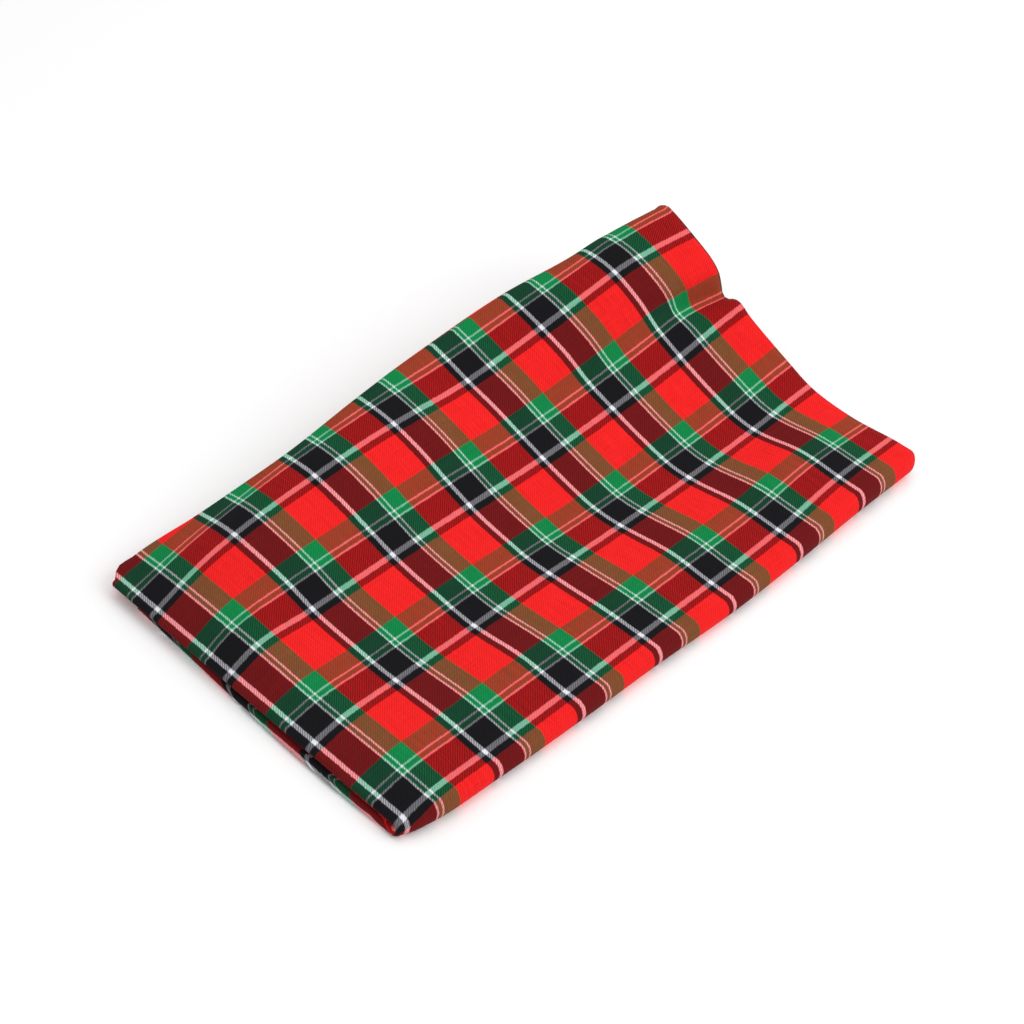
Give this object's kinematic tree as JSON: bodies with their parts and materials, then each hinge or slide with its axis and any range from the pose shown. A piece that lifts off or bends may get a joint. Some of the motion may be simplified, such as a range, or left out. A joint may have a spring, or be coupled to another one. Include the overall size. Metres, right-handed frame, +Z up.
{
  "type": "folded maasai shuka blanket",
  "caption": "Thin woven check blanket lying folded, tight at two folded edges and puffed up at its open corner.",
  "frame": {"origin": "centre of the folded cloth's bounding box, at the surface it lies on", "axes": "+X along the length from the folded left end to the open right end, +Y from the folded near edge to the open far edge, +Z up"},
  "size_m": [0.7571, 0.4536, 0.1493],
  "materials": {
    "woven_cloth": "twill-woven acrylic in red, green, black and white check, matt and slightly fuzzy"
  },
  "bodies": {
    "root": {"shuka_cloth": "woven_cloth"}
  },
  "joints": []
}
